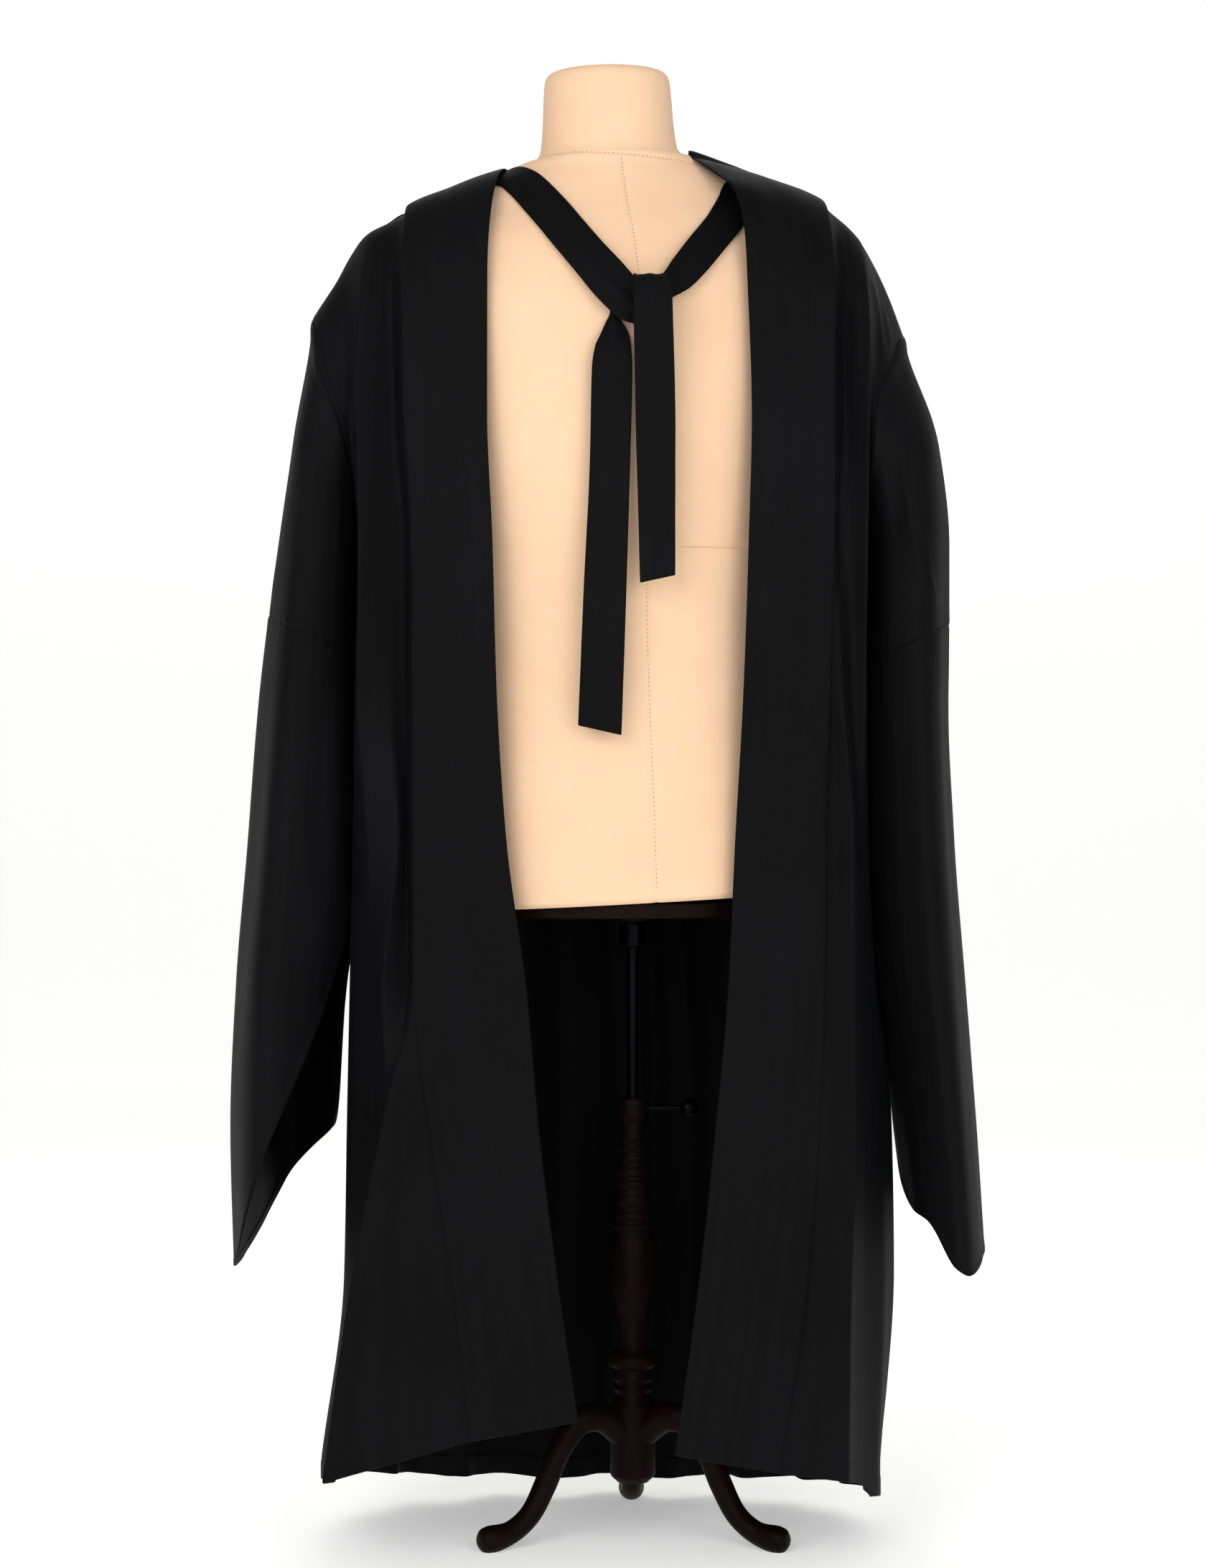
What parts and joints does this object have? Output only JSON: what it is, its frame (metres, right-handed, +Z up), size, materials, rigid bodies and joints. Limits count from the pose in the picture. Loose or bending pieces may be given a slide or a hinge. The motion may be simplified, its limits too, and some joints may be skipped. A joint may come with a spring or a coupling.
{
  "type": "judge's gown on a dress form with stand",
  "caption": "Open-fronted long black gown with wide front bands, full slant-ended sleeves and a knotted neck tie, hanging on a cream limbless dress form on a turned wooden stand.",
  "frame": {"origin": "middle of the bounding box at floor level, under the feet", "axes": "+Z up, the gown faces -Y, +X to the right as seen from the front"},
  "size_m": [0.735, 0.3695, 1.4321],
  "materials": {
    "black_cloth": "matt to satin fine weave",
    "cream_jersey": "matt fine jersey",
    "mahogany": "dark red-brown stain under satin lacquer",
    "dark_steel": "dark, fairly smooth"
  },
  "bodies": {
    "stand": {"stand_post": "mahogany", "stand_leg_1": "mahogany", "stand_leg_2": "mahogany", "stand_leg_3": "mahogany"},
    "dressed_form": {"band_left": "black_cloth", "band_right": "black_cloth", "front_left": "black_cloth", "front_right": "black_cloth", "back": "black_cloth", "sleeve_left_upper": "black_cloth", "sleeve_left_lower": "black_cloth", "sleeve_right_upper": "black_cloth", "sleeve_right_lower": "black_cloth", "tie_strap_left": "black_cloth", "tie_strap_right": "black_cloth", "tie_knot": "black_cloth", "tie_tail_left": "black_cloth", "tie_tail_right": "black_cloth", "form_torso": "cream_jersey", "form_board": "mahogany", "rod_flange": "dark_steel", "stand_rod": "dark_steel"},
    "clamp": {"clamp_screw": "dark_steel"}
  },
  "joints": [
    {"name": "form_height", "type": "slide", "parent": "stand", "child": "dressed_form", "axis": [0, 0, 1], "range_m": [0, 0.12]},
    {"name": "clamp_turn", "type": "hinge", "parent": "stand", "child": "clamp", "pos_m": [0.08, -0.008, 0.414], "axis": [1, 0, 0], "continuous": true}
  ]
}
